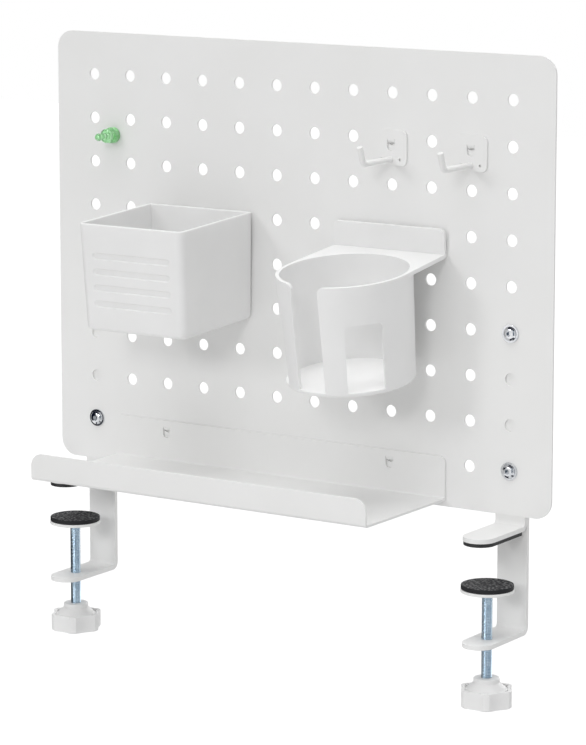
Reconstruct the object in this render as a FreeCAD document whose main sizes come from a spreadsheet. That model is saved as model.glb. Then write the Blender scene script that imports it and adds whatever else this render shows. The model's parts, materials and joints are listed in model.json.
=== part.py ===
"""Clamp-on pegboard desk organizer: a perforated steel panel on two desk clamps, with a pen box,
a cup holder, a tray, two hooks and a magnetic push pin hung on it.

Millimetres. +X runs along the panel, +Y away from the user, +Z up. The origin is the middle of
the desk's rear edge: z = 0 is the desk top under the upper pads, and y = 0 is the plane of the
clamp uprights that the desk's edge meets.
"""
import FreeCAD, Part
import math
import os
import Sketcher

DOC = FreeCAD.newDocument("desk_pegboard")
SHEET = DOC.addObject("Spreadsheet::Sheet", "Sizes")

DRIVING = {
    # perforated panel
    "board_width": 392,
    "board_height": 298,
    "board_thickness": 1.5,
    "board_corner_radius": 12,
    "board_above_desk": 12,
    "peg_pitch": 30,
    "peg_hole_diameter": 8,
    "peg_columns": 12,
    "peg_rows": 9,
    # clamp bars: an upper and a lower bracket of the same flat bar
    "bar_width": 22,
    "bar_thickness": 3,
    "bar_bend_inside": 2.5,
    "bar_above_bolt": 12,
    "clamp_reach": 52.5,
    "clamp_throat": 64,
    "bolt_row_step": 3,
    "bar_bolt_hole": 5.5,
    "nose_flat": 0.05,
    "upper_pad_thickness": 2.5,
    "upper_pad_inset": 0.4,
    # clamp screws, their swivel plates and knobs
    "screw_offset": 31.5,
    "screw_diameter": 7,
    "screw_reach": 56.5,
    "running_clearance": 0.05,
    "cut_overshoot": 1,
    "spigot_diameter": 4.6,
    "rivet_head_diameter": 9,
    "rivet_head_height": 1.2,
    "swivel_play": 0.2,
    "left_jaw_gap": 24,
    "right_jaw_gap": 28,
    "jaw_plate_diameter": 34.8,
    "jaw_plate_thickness": 2,
    "jaw_pad_diameter": 34.2,
    "jaw_pad_thickness": 3,
    "knob_diameter": 35.6,
    "knob_body_height": 11.6,
    "knob_wall": 1.6,
    "knob_hub_diameter": 17,
    "knob_hub_height": 6.9,
    "knob_hub_straight": 3,
    "knob_hub_rounding": 0.8,
    "knob_lobes": 6,
    "knob_flute_radius": 24,
    "knob_flute_depth": 2.6,
    "knob_ring_depth": 0.8,
    "knob_ring_slope": 0.3,
    "knob_rib": 1,
    "knob_pocket_reach": 4,
    "knob_pocket_depth": 8,
    "knob_bevel": 0.8,
    "screw_in_knob": 14,
    # fasteners
    "bolt_diameter": 5,
    "bolt_flange_diameter": 11.8,
    "bolt_flange_thickness": 1,
    "bolt_head_diameter": 9.4,
    "bolt_head_height": 3,
    "bolt_socket": 3,
    "bolt_socket_depth": 1.7,
    "bolt_past_nut": 2,
    "nut_across_flats": 8,
    "nut_thickness": 4.5,
    "washer_diameter": 10,
    "washer_thickness": 1,
    # lanced hanging tabs of the sheet-steel accessories
    "sheet_thickness": 1.5,
    "hang_clearance": 0.1,
    "tab_width": 5.4,
    "tab_slot_width": 5.8,
    "tab_slot_length": 7.6,
    "tab_slot_end_flat": 0.8,
    "tab_bend_inside": 1.2,
    "tab_behind_gap": 0.5,
    "tab_lip": 2.5,
    # moulded hanging pegs of the plastic accessories
    "peg_width": 5,
    "peg_height": 2.8,
    "peg_lip_drop": 2.6,
    "peg_hole_clearance": 0.1,
    "peg_root_depth": 0.5,
    "peg_lip_thickness": 2.2,
    "peg_behind_gap": 0.3,
    "peg_side_columns": 1,
    # pen box
    "pen_column": 3,
    "hang_row": 5,
    "pen_lean": 3,
    "pen_width": 84,
    "pen_depth": 82.8,
    "pen_height": 72.5,
    "pen_draft_degrees": 1.4,
    "pen_wall": 2,
    "pen_corner_radius": 5,
    "pen_rear_radius": 2.3,
    "pen_foot_radius": 3,
    "pen_above_row": 4.5,
    "pen_behind_gap": 2.1,
    "groove_count": 4,
    "groove_length": 62,
    "groove_height": 4.4,
    "groove_pitch": 10.8,
    "groove_depth": 0.8,
    "groove_lowest": 55.9,
    # cup holder
    "cup_column": 8,
    "cup_lean": 7,
    "cup_outside": 88.4,
    "cup_foot_outside": 83.6,
    "cup_height": 73,
    "cup_wall": 2.3,
    "cup_floor": 3,
    "cup_foot_radius": 2.5,
    "cup_axis_out": 57.2,
    "cup_rim_below_row": 12,
    "cup_plate_width": 84.7,
    "cup_plate_thickness": 2.4,
    "cup_plate_above_row": 4.6,
    "cup_plate_corner": 4,
    "cup_flange_thickness": 2.5,
    "cup_bend_outside": 2.5,
    "cup_behind_gap": 2.1,
    "cup_openings_turn": 5,
    "cup_slot_width": 20.9,
    "cup_window_width": 24.7,
    "cup_window_angle": 51.6,
    "cup_window_top": 25.5,
    "cup_opening_radius": 4,
    # tray
    "tray_left_column": 2,
    "tray_right_column": 8,
    "tray_width": 265,
    "tray_depth": 98.5,
    "tray_lip_height": 18.5,
    "tray_above_row": 4.3,
    "tray_back_height": 29.3,
    "tray_bend_inside": 1,
    "tray_lip_corner": 8.5,
    "tray_back_corner": 4,
    # hooks
    "left_hook_column": 8,
    "right_hook_column": 10,
    "hook_row": 7,
    "hook_plate_width": 24,
    "hook_plate_above_row": 6,
    "hook_plate_height": 23.4,
    "hook_plate_corner": 4,
    "hook_locating_hole": 2,
    "hook_locating_spacing": 14,
    "hook_wire_diameter": 4,
    "hook_wire_below_row": 13.4,
    "hook_wire_out": 33.5,
    "hook_wire_bend": 4,
    "hook_wire_rise": 11.6,
    "hook_wire_lean": 4.2,
    "hook_wire_end_radius": 0.6,
    # magnetic push pin
    "pin_column": 0.54,
    "pin_row": 6.63,
    "pin_diameter": 12,
    "pin_base_length": 8.5,
    "pin_waist_diameter": 7.6,
    "pin_body_diameter": 10.6,
    "pin_body_end": 14.6,
    "pin_nose_diameter": 5.8,
    "pin_length": 20,
    "pin_edge_bevel": 0.8,
    "pin_waist_step": 0.4,
    "pin_barrel_start": 2.2,
    "pin_barrel_taper": 1.2,
    "pin_barrel_step": 1,
    "pin_nose_step": 0.6,
    "magnet_diameter": 9,
    "magnet_thickness": 2.5,
}

for line, (alias, value) in enumerate(DRIVING.items(), start=1):
    SHEET.set(f"A{line}", alias)
    SHEET.set(f"B{line}", str(value))
    SHEET.setAlias(f"B{line}", alias)
DOC.recompute()


def named(text):
    """Each word of the text that names a driving size, written as a reference to its cell."""
    words = text.replace("(", " ( ").replace(")", " ) ").split()
    return " ".join(f"Sizes.{w}" if w in DRIVING else w for w in words)


def number(owner, text):
    result = owner.evalExpression(named(text))
    return float(getattr(result, "Value", result))


# Places that several pieces share. Rows count up from the lowest one, columns from the left.
LOWEST_ROW = "( board_above_desk + ( board_height - ( peg_rows - 1 ) * peg_pitch ) / 2 )"
FIRST_COLUMN = "( 0 - ( peg_columns - 1 ) / 2 * peg_pitch )"
BOARD_FRONT = "( 0 - bar_thickness - board_thickness )"
BAR_TOP = f"( {LOWEST_ROW} + bolt_row_step * peg_pitch + bar_above_bolt )"
TONGUE_TOP = "( upper_pad_thickness + bar_thickness )"
ARM_BOTTOM = "( 0 - clamp_throat - bar_thickness )"
BEND_OUTSIDE = "( bar_bend_inside + bar_thickness )"


def row_height(row):
    return f"( {LOWEST_ROW} + {row} * peg_pitch )"


def column_place(column):
    return f"( {FIRST_COLUMN} + {column} * peg_pitch )"


# ---------------------------------------------------------------- helpers for bodies and sketches

def new_body(name, x="0", y="0", z="0"):
    body = DOC.addObject("PartDesign::Body", name)
    body.Label = name
    for axis, place in zip("xyz", (x, y, z)):
        body.setExpression(f"Placement.Base.{axis}", named(place))
    return body


def origin_plane(body, role):
    return next(item for item in body.Origin.OriginFeatures if item.Role == role)


def new_sketch(body, name, role, offset="0", rise="0", turn=None, axis=(0, 1, 0)):
    """A sketch on one of the body's own origin planes, moved along the plane's normal and up
    the plane, and turned about one of its own axes."""
    sketch = body.newObject("Sketcher::SketchObject", name)
    sketch.AttachmentSupport = [(origin_plane(body, role), "")]
    sketch.MapMode = "FlatFace"
    if turn:
        sketch.AttachmentOffset = FreeCAD.Placement(
            FreeCAD.Vector(), FreeCAD.Rotation(FreeCAD.Vector(*axis), 1.0)
        )
        sketch.setExpression("AttachmentOffset.Rotation.Angle", named(turn))
    for direction, text in (("z", offset), ("y", rise)):
        if text != "0":
            sketch.setExpression(f"AttachmentOffset.Base.{direction}", named(text))
    return sketch


def pin_point(sketch, edge, end, x, y):
    """Ties a point of the sketch to the sketch's origin by its two coordinates."""
    for kind, axis, text in (("DistanceX", -2, x), ("DistanceY", -1, y)):
        if text == "0":
            sketch.addConstraint(Sketcher.Constraint("PointOnObject", edge, end, axis))
            continue
        value = number(sketch, text)
        index = sketch.addConstraint(Sketcher.Constraint(kind, -1, 1, edge, end, value))
        sketch.setExpression(f"Constraints[{index}]", named(text))


def add_polygon(sketch, corners):
    """A closed outline of straight edges. A corner is its two coordinates, and a third value is
    the radius that rounds it."""
    points = [FreeCAD.Vector(number(sketch, c[0]), number(sketch, c[1]), 0) for c in corners]
    count = len(points)
    starts, ends, arcs = list(points), list(points), {}
    for k, corner in enumerate(corners):
        if len(corner) < 3:
            continue
        radius = number(sketch, corner[2])
        back = (points[k - 1] - points[k]).normalize()
        ahead = (points[(k + 1) % count] - points[k]).normalize()
        half = back.getAngle(ahead) / 2
        ends[k] = points[k] + back * (radius / math.tan(half))
        starts[k] = points[k] + ahead * (radius / math.tan(half))
        centre = points[k] + (back + ahead).normalize() * (radius / math.sin(half))
        left_turn = back.cross(ahead).z < 0
        pair = (ends[k], starts[k]) if left_turn else (starts[k], ends[k])
        angles = [math.atan2(end.y - centre.y, end.x - centre.x) for end in pair]
        circle = Part.Circle(centre, FreeCAD.Vector(0, 0, 1), radius)
        arcs[k] = (Part.ArcOfCircle(circle, *angles), 1 if left_turn else 2)
    first = sketch.GeometryCount
    for k in range(count):
        sketch.addGeometry(Part.LineSegment(starts[k], ends[(k + 1) % count]), False)
    for k, corner in enumerate(corners):
        coming, leaving = first + (k - 1) % count, first + k
        if k not in arcs:
            sketch.addConstraint(Sketcher.Constraint("Coincident", coming, 2, leaving, 1))
            pin_point(sketch, leaving, 1, corner[0], corner[1])
            continue
        shape, entry = arcs[k]
        arc = sketch.addGeometry(shape, False)
        apex = sketch.addGeometry(Part.Point(points[k]), True)
        sketch.addConstraint(Sketcher.Constraint("Tangent", coming, 2, arc, entry))
        sketch.addConstraint(Sketcher.Constraint("Tangent", arc, 3 - entry, leaving, 1))
        pin_point(sketch, apex, 1, corner[0], corner[1])
        for line in (coming, leaving):
            sketch.addConstraint(Sketcher.Constraint("PointOnObject", apex, 1, line))
        index = sketch.addConstraint(Sketcher.Constraint("Radius", arc, shape.Radius))
        sketch.setExpression(f"Constraints[{index}]", named(corner[2]))


def add_box(sketch, left, right, low, high):
    add_polygon(sketch, [(left, low), (right, low), (right, high), (left, high)])


def add_circle(sketch, x, y, diameter):
    centre = FreeCAD.Vector(number(sketch, x), number(sketch, y), 0)
    radius = number(sketch, diameter) / 2
    edge = sketch.addGeometry(Part.Circle(centre, FreeCAD.Vector(0, 0, 1), radius), False)
    pin_point(sketch, edge, 3, x, y)
    index = sketch.addConstraint(Sketcher.Constraint("Radius", edge, radius))
    sketch.setExpression(f"Constraints[{index}]", named(f"{diameter} / 2"))


def add_slot(sketch, left, right, low, high):
    """An outline with straight long sides and fully rounded ends."""
    radius = f"( ( {high} - ( {low} ) ) / 2 )"
    level = f"{low} + {radius}"
    size, height = number(sketch, radius), number(sketch, level)
    ends = [(f"{right} - {radius}", -1), (f"{left} + {radius}", 1)]
    arcs = []
    for x, quarter in ends:
        centre = FreeCAD.Vector(number(sketch, x), height, 0)
        circle = Part.Circle(centre, FreeCAD.Vector(0, 0, 1), size)
        start = quarter * math.pi / 2
        arcs.append(Part.ArcOfCircle(circle, start, start + math.pi))
    first = sketch.GeometryCount
    for k, arc in enumerate(arcs):
        sketch.addGeometry(arc, False)
        sketch.addGeometry(Part.LineSegment(arc.EndPoint, arcs[1 - k].StartPoint), False)
    for k, (x, quarter) in enumerate(ends):
        arc, line, other = first + 2 * k, first + 2 * k + 1, first + 2 * (1 - k)
        sketch.addConstraint(Sketcher.Constraint("Tangent", arc, 2, line, 1))
        sketch.addConstraint(Sketcher.Constraint("Tangent", line, 2, other, 1))
        pin_point(sketch, arc, 3, x, level)
        index = sketch.addConstraint(Sketcher.Constraint("Radius", arc, size))
        sketch.setExpression(f"Constraints[{index}]", named(radius))


def pad(body, sketch, length, both_ways=False, reverse=False):
    feature = body.newObject("PartDesign::Pad", sketch.Name + "_pad")
    feature.Profile = sketch
    feature.setExpression("Length", named(length))
    feature.Midplane = both_ways
    feature.Reversed = reverse
    DOC.recompute()
    return feature


def cut(body, sketch, length=None, reverse=False):
    """A pocket: right through both ways, or to a depth. It must take material away."""
    before = body.Shape.Volume
    feature = body.newObject("PartDesign::Pocket", sketch.Name + "_cut")
    feature.Profile = sketch
    if length is None:
        feature.Type = "ThroughAll"
        feature.Midplane = True
    else:
        feature.setExpression("Length", named(length))
        feature.Reversed = reverse
    DOC.recompute()
    if not body.Shape.Volume < before:
        raise RuntimeError(f"{feature.Name} cuts nothing")
    return feature


def revolve(body, sketch, groove=False):
    """The outline turned about the sketch's vertical axis."""
    kind = "PartDesign::Groove" if groove else "PartDesign::Revolution"
    before = body.Shape.Volume if groove else 0
    feature = body.newObject(kind, sketch.Name + "_turn")
    feature.Profile = sketch
    feature.ReferenceAxis = (sketch, ["V_Axis"])
    feature.Angle = 360
    DOC.recompute()
    if groove and not body.Shape.Volume < before:
        raise RuntimeError(f"{feature.Name} cuts nothing")
    return feature


def repeat_along(body, feature, sketch, axis, length, count):
    pattern = body.newObject("PartDesign::LinearPattern", feature.Name + "_row")
    pattern.Originals = [feature]
    pattern.Direction = (sketch, [axis])
    pattern.setExpression("Length", named(length))
    pattern.setExpression("Occurrences", named(count))
    body.Tip = pattern
    DOC.recompute()


def repeat_round(body, feature, sketch, axis, count):
    pattern = body.newObject("PartDesign::PolarPattern", feature.Name + "_round")
    pattern.Originals = [feature]
    pattern.Axis = (sketch, [axis])
    pattern.Angle = 360
    pattern.setExpression("Occurrences", named(count))
    body.Tip = pattern
    DOC.recompute()


def edges_where(body, test):
    """Names of the edges of the body's last feature that pass the test."""
    shape = body.Tip.Shape
    return [f"Edge{k}" for k, edge in enumerate(shape.Edges, start=1) if test(edge)]


def round_edges(body, name, radius, test):
    names = edges_where(body, test)
    if not names:
        raise RuntimeError(f"{name}: no edge found")
    base = body.Tip
    feature = body.newObject("PartDesign::Fillet", name)
    feature.Base = (base, names)
    feature.setExpression("Radius", named(radius))
    DOC.recompute()


def runs_along(edge, direction):
    """True for a straight edge parallel to the direction."""
    if not isinstance(edge.Curve, Part.Line):
        return False
    start, end = edge.Vertexes[0].Point, edge.Vertexes[-1].Point
    return (end - start).cross(direction).Length < 1e-6 * edge.Length


def middle(edge):
    return edge.valueAt((edge.FirstParameter + edge.LastParameter) / 2)


def near(value, target, slack=1e-3):
    return abs(value - target) < slack


ALONG_X = FreeCAD.Vector(1, 0, 0)
ALONG_Y = FreeCAD.Vector(0, 1, 0)
ALONG_Z = FreeCAD.Vector(0, 0, 1)
# An edge of a moulded box that is taller than this is one of its upright corners.
UPRIGHT_EDGE = 20


def group(name, bodies):
    """Identical fasteners as separate solids of one node."""
    compound = DOC.addObject("Part::Compound", name)
    compound.Label = name
    compound.Links = bodies
    return compound


# ---------------------------------------------------------------- perforated panel

def make_pegboard():
    body = new_body("pegboard", y="0 - bar_thickness", z="board_above_desk")
    outline = new_sketch(body, "board_outline", "XZ_Plane")
    add_box(outline, "0 - board_width / 2", "board_width / 2", "0", "board_height")
    pad(body, outline, "board_thickness")
    round_edges(body, "board_corners", "board_corner_radius", lambda e: runs_along(e, ALONG_Y))
    hole = new_sketch(body, "first_peg_hole", "XZ_Plane")
    add_circle(hole, FIRST_COLUMN, f"{LOWEST_ROW} - board_above_desk", "peg_hole_diameter")
    first = cut(body, hole)
    grid = body.newObject("PartDesign::MultiTransform", "peg_grid")
    steps = []
    for axis, count in (("H_Axis", "peg_columns"), ("V_Axis", "peg_rows")):
        step = body.newObject("PartDesign::LinearPattern", count + "_step")
        step.Direction = (hole, [axis])
        step.setExpression("Length", named(f"( {count} - 1 ) * peg_pitch"))
        step.setExpression("Occurrences", named(count))
        steps.append(step)
    grid.Originals = [first]
    grid.Transformations = steps
    body.Tip = grid
    DOC.recompute()
    return body


# ---------------------------------------------------------------- clamp brackets

def bolt_heights():
    return LOWEST_ROW, row_height("bolt_row_step")


def drill_bolt_holes(body, name):
    holes = new_sketch(body, name, "XZ_Plane")
    for height in bolt_heights():
        add_circle(holes, "0", height, "bar_bolt_hole")
    cut(body, holes)


def round_noses(body, name):
    """The end of the arm is rounded across its whole width."""
    tip = -number(body, "clamp_reach")
    round_edges(
        body,
        name,
        "bar_width / 2 - nose_flat",
        lambda e: runs_along(e, ALONG_Z) and near(middle(e).y, tip),
    )


def make_upper_bracket(side, column):
    """Flat bar bolted behind the panel and bent forward into the tongue over the desk."""
    body = new_body(f"{side}_upper_bracket", x=column_place(column))
    profile = new_sketch(body, f"{side}_upper_profile", "YZ_Plane")
    front, nose = "0 - bar_thickness", "0 - clamp_reach"
    add_polygon(
        profile,
        [
            ("0", "upper_pad_thickness"),
            ("0", BAR_TOP),
            (front, BAR_TOP),
            (front, TONGUE_TOP),
            (nose, TONGUE_TOP),
            (nose, "upper_pad_thickness"),
        ],
    )
    pad(body, profile, "bar_width", both_ways=True)
    thick, heel = number(body, front), number(body, "upper_pad_thickness")
    top = number(body, TONGUE_TOP)
    round_edges(
        body,
        f"{side}_upper_inside",
        "bar_bend_inside",
        lambda e: runs_along(e, ALONG_X) and near(middle(e).y, thick) and near(middle(e).z, top),
    )
    round_edges(
        body,
        f"{side}_upper_outside",
        BEND_OUTSIDE,
        lambda e: runs_along(e, ALONG_X) and near(middle(e).y, 0) and near(middle(e).z, heel),
    )
    round_noses(body, f"{side}_upper_nose")
    drill_bolt_holes(body, f"{side}_upper_holes")
    return body


def make_lower_bracket(side, column):
    """Flat bar behind the upper bracket, running down past the desk and bent under it."""
    body = new_body(f"{side}_lower_bracket", x=column_place(column))
    profile = new_sketch(body, f"{side}_lower_profile", "YZ_Plane")
    back, nose = "bar_thickness", "0 - clamp_reach"
    add_polygon(
        profile,
        [
            (back, ARM_BOTTOM),
            (back, BAR_TOP),
            ("0", BAR_TOP),
            ("0", "0 - clamp_throat"),
            (nose, "0 - clamp_throat"),
            (nose, ARM_BOTTOM),
        ],
    )
    pad(body, profile, "bar_width", both_ways=True)
    throat, bottom = -number(body, "clamp_throat"), number(body, ARM_BOTTOM)
    thick = number(body, back)
    round_edges(
        body,
        f"{side}_lower_inside",
        "bar_bend_inside",
        lambda e: runs_along(e, ALONG_X) and near(middle(e).y, 0) and near(middle(e).z, throat),
    )
    round_edges(
        body,
        f"{side}_lower_outside",
        BEND_OUTSIDE,
        lambda e: runs_along(e, ALONG_X) and near(middle(e).y, thick) and near(middle(e).z, bottom),
    )
    round_noses(body, f"{side}_lower_nose")
    drill_bolt_holes(body, f"{side}_lower_holes")
    screw_hole = new_sketch(body, f"{side}_screw_hole", "XY_Plane", "0 - clamp_throat")
    add_circle(screw_hole, "0", "0 - screw_offset", "( screw_diameter + 2 * running_clearance )")
    cut(body, screw_hole, "bar_thickness")
    return body


def make_upper_pad(side, column):
    """Rubber strip under the tongue; its lower face rests on the desk top."""
    body = new_body(f"{side}_upper_pad", x=column_place(column))
    outline = new_sketch(body, f"{side}_pad_outline", "XY_Plane")
    half = "( bar_width / 2 - upper_pad_inset )"
    add_box(
        outline,
        f"0 - {half}",
        half,
        "0 - clamp_reach + upper_pad_inset",
        f"0 - {BEND_OUTSIDE}",
    )
    pad(body, outline, "upper_pad_thickness")
    tip = number(body, "0 - clamp_reach + upper_pad_inset")
    round_edges(
        body,
        f"{side}_pad_nose",
        f"{half} - nose_flat",
        lambda e: runs_along(e, ALONG_Z) and near(middle(e).y, tip),
    )
    return body


# ---------------------------------------------------------------- swivel jaws, screws and knobs

def make_jaw_plate(side, column):
    """Steel disc that turns freely on the riveted end of the clamp screw."""
    gap = f"{side}_jaw_gap"
    body = new_body(
        f"{side}_jaw_plate",
        x=column_place(column),
        y="0 - screw_offset",
        z=f"0 - {gap} - jaw_pad_thickness",
    )
    profile = new_sketch(body, f"{side}_plate_profile", "XZ_Plane")
    hole = "( spigot_diameter / 2 + running_clearance )"
    add_box(profile, hole, "jaw_plate_diameter / 2", "0 - jaw_plate_thickness", "0")
    revolve(body, profile)
    return body


def make_jaw_pad(side, column):
    """Soft facing on the jaw plate, hollowed under its middle for the rivet head."""
    gap = f"{side}_jaw_gap"
    body = new_body(
        f"{side}_jaw_pad",
        x=column_place(column),
        y="0 - screw_offset",
        z=f"0 - {gap} - jaw_pad_thickness",
    )
    profile = new_sketch(body, f"{side}_facing_profile", "XZ_Plane")
    recess = "( rivet_head_diameter / 2 + swivel_play )"
    roof = "( rivet_head_height + 2 * swivel_play )"
    rim = "( jaw_pad_diameter / 2 )"
    add_polygon(
        profile,
        [
            (recess, "0"),
            (rim, "0"),
            (rim, "jaw_pad_thickness"),
            ("0", "jaw_pad_thickness"),
            ("0", roof),
            (recess, roof),
        ],
    )
    revolve(body, profile)
    return body


def screw_body(name, side, column):
    """A body on the screw's axis with its origin at the underside of the jaw plate."""
    gap = f"{side}_jaw_gap"
    return new_body(
        name,
        x=column_place(column),
        y="0 - screw_offset",
        z=f"0 - {gap} - jaw_pad_thickness - jaw_plate_thickness",
    )


def make_clamp_screw(side, column):
    """Threaded rod: a shoulder carries the jaw plate and a riveted head keeps it on."""
    body = screw_body(f"{side}_clamp_screw", side, column)
    profile = new_sketch(body, f"{side}_rod_profile", "XZ_Plane")
    rod, spigot, head = "screw_diameter / 2", "spigot_diameter / 2", "rivet_head_diameter / 2"
    shoulder = "0 - running_clearance"
    under_head = "jaw_plate_thickness + running_clearance"
    add_polygon(
        profile,
        [
            ("0", "0 - screw_reach - screw_in_knob"),
            (rod, "0 - screw_reach - screw_in_knob"),
            (rod, shoulder),
            (spigot, shoulder),
            (spigot, under_head),
            (head, under_head),
            (head, f"{under_head} + rivet_head_height"),
            ("0", f"{under_head} + rivet_head_height"),
        ],
    )
    revolve(body, profile)
    return body


def make_knob(side, column):
    """Moulded hand knob. Wide flutes leave narrow lobes, a skirt falls from the hub to the rim,
    and each lobe is hollowed from above on both sides of a rib."""
    body = screw_body(f"{side}_knob", side, column)
    profile = new_sketch(body, f"{side}_knob_profile", "XZ_Plane")
    bore = "( screw_diameter / 2 + running_clearance )"
    rim, hub = "( knob_diameter / 2 )", "( knob_hub_diameter / 2 )"
    skirt = f"( {rim} - knob_flute_depth - knob_wall )"
    top = "0 - screw_reach"
    shelf = "0 - screw_reach - knob_hub_height"
    bottom = f"{shelf} - knob_body_height"
    bore_end = "0 - screw_reach - screw_in_knob - swivel_play"
    add_polygon(
        profile,
        [
            (bore, top),
            (hub, top),
            (hub, f"{top} - knob_hub_straight"),
            (skirt, f"{shelf} - knob_ring_depth"),
            (f"{skirt} + knob_ring_slope", shelf),
            (rim, shelf),
            (rim, f"{bottom} + knob_bevel"),
            (f"{rim} - knob_bevel", bottom),
            ("0", bottom),
            ("0", bore_end),
            (bore, bore_end),
        ],
    )
    revolve(body, profile)
    flute = new_sketch(
        body, f"{side}_knob_flute", "XY_Plane", shelf, turn="180 / knob_lobes", axis=(0, 0, 1)
    )
    away = f"( {rim} + knob_flute_radius - knob_flute_depth )"
    add_circle(flute, away, "0", "2 * knob_flute_radius")
    first = cut(body, flute, "knob_body_height")
    repeat_round(body, first, flute, "N_Axis", "knob_lobes")
    pocket = new_sketch(body, f"{side}_knob_pocket", "XY_Plane", shelf)
    for way in ("", "0 - "):
        add_polygon(
            pocket,
            [
                (skirt, f"{way}knob_rib / 2"),
                (f"{rim} - knob_wall", f"{way}knob_rib / 2"),
                (f"( {skirt} ^ 2 - knob_pocket_reach ^ 2 ) ^ 0.5", f"{way}knob_pocket_reach"),
            ],
        )
    first = cut(body, pocket, "knob_pocket_depth")
    repeat_round(body, first, pocket, "N_Axis", "knob_lobes")
    hub_top = number(body, top)
    hub_radius = number(body, hub)
    round_edges(
        body,
        f"{side}_hub_edge",
        "knob_hub_rounding",
        lambda e: near(e.BoundBox.ZMin, hub_top)
        and near(e.BoundBox.ZMax, hub_top)
        and near(e.BoundBox.XLength, 2 * hub_radius, slack=0.1),
    )
    return body


# ---------------------------------------------------------------- bolts, nuts and washers

# The bolt head's domed side: shares of the head's radius at shares of its height.
HEAD_DOME = (("0.94", "0.62"), ("0.74", "0.9"), ("0.52", "1"))


def across_corners(across_flats):
    """Half the width of a hexagon over its corners."""
    return f"( {across_flats} / 3 ^ 0.5 )"


def make_bolt(name, column, height):
    """Flanged button-head bolt with a hexagon socket, put in from the front of the panel."""
    body = new_body(name, x=column_place(column), y=BOARD_FRONT, z=height)
    profile = new_sketch(body, name + "_profile", "XY_Plane")
    shank, flange, head = "bolt_diameter / 2", "bolt_flange_diameter / 2", "bolt_head_diameter / 2"
    end = "board_thickness + 2 * bar_thickness + washer_thickness + nut_thickness + bolt_past_nut"
    add_polygon(
        profile,
        [
            ("0", end),
            (shank, end),
            (shank, "0"),
            (flange, "0"),
            (flange, "0 - bolt_flange_thickness"),
            (head, "0 - bolt_flange_thickness"),
            *((f"{head} * {out}", f"0 - bolt_head_height * {up}") for out, up in HEAD_DOME),
            ("0", "0 - bolt_head_height"),
        ],
    )
    revolve(body, profile)
    socket = new_sketch(body, name + "_socket", "XZ_Plane", "bolt_head_height - bolt_socket_depth")
    corner = across_corners("bolt_socket")
    side = "( bolt_socket / 2 )"
    add_polygon(
        socket,
        [
            ("0", corner),
            (f"0 - {side}", f"{corner} / 2"),
            (f"0 - {side}", f"0 - {corner} / 2"),
            ("0", f"0 - {corner}"),
            (side, f"0 - {corner} / 2"),
            (side, f"{corner} / 2"),
        ],
    )
    cut(body, socket, "bolt_socket_depth + cut_overshoot", reverse=True)
    return body


def make_ring(name, column, height, back, inner, outer, thickness, sides=None):
    """A washer, or a nut where the outer outline has six sides, against a rear face."""
    body = new_body(name, x=column_place(column), y=f"{back} + {thickness}", z=height)
    outline = new_sketch(body, name + "_outline", "XZ_Plane")
    if sides:
        half, corner = f"( {outer} / 2 )", across_corners(outer)
        add_polygon(
            outline,
            [
                (corner, "0"),
                (f"{corner} / 2", half),
                (f"0 - {corner} / 2", half),
                (f"0 - {corner}", "0"),
                (f"0 - {corner} / 2", f"0 - {half}"),
                (f"{corner} / 2", f"0 - {half}"),
            ],
        )
    else:
        add_circle(outline, "0", "0", outer)
    add_circle(outline, "0", "0", inner)
    pad(body, outline, thickness)
    return body


def make_fasteners(columns):
    bolts, nuts, washers = [], [], []
    bore = "( bolt_diameter + 2 * running_clearance )"
    for column in columns:
        for height in bolt_heights():
            tag = f"{len(bolts) + 1}"
            washer_back = "bar_thickness"
            nut_back = "bar_thickness + washer_thickness"
            bolts.append(make_bolt("bolt_" + tag, column, height))
            washers.append(
                make_ring(
                    "washer_" + tag, column, height, washer_back,
                    "bar_bolt_hole", "washer_diameter", "washer_thickness",
                )
            )
            nuts.append(
                make_ring(
                    "nut_" + tag, column, height, nut_back,
                    bore, "nut_across_flats", "nut_thickness", sides=6,
                )
            )
    return [
        group("mounting_bolts", bolts),
        group("bolt_washers", washers),
        group("bolt_nuts", nuts),
    ]


# ---------------------------------------------------------------- hanging tabs of sheet accessories

# The tab's rounded bends, drawn with one slanting edge each: shares of the bend radius and of the
# sheet's thickness at which the slanting edge starts and ends.
ROOT_START, ROOT_TURN_OUT, ROOT_TURN_UP = 0.4, 0.4, 0.25
LIP_CHAMFER, NECK_OUT, NECK_DOWN = 0.6, 0.3, 0.7


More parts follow.
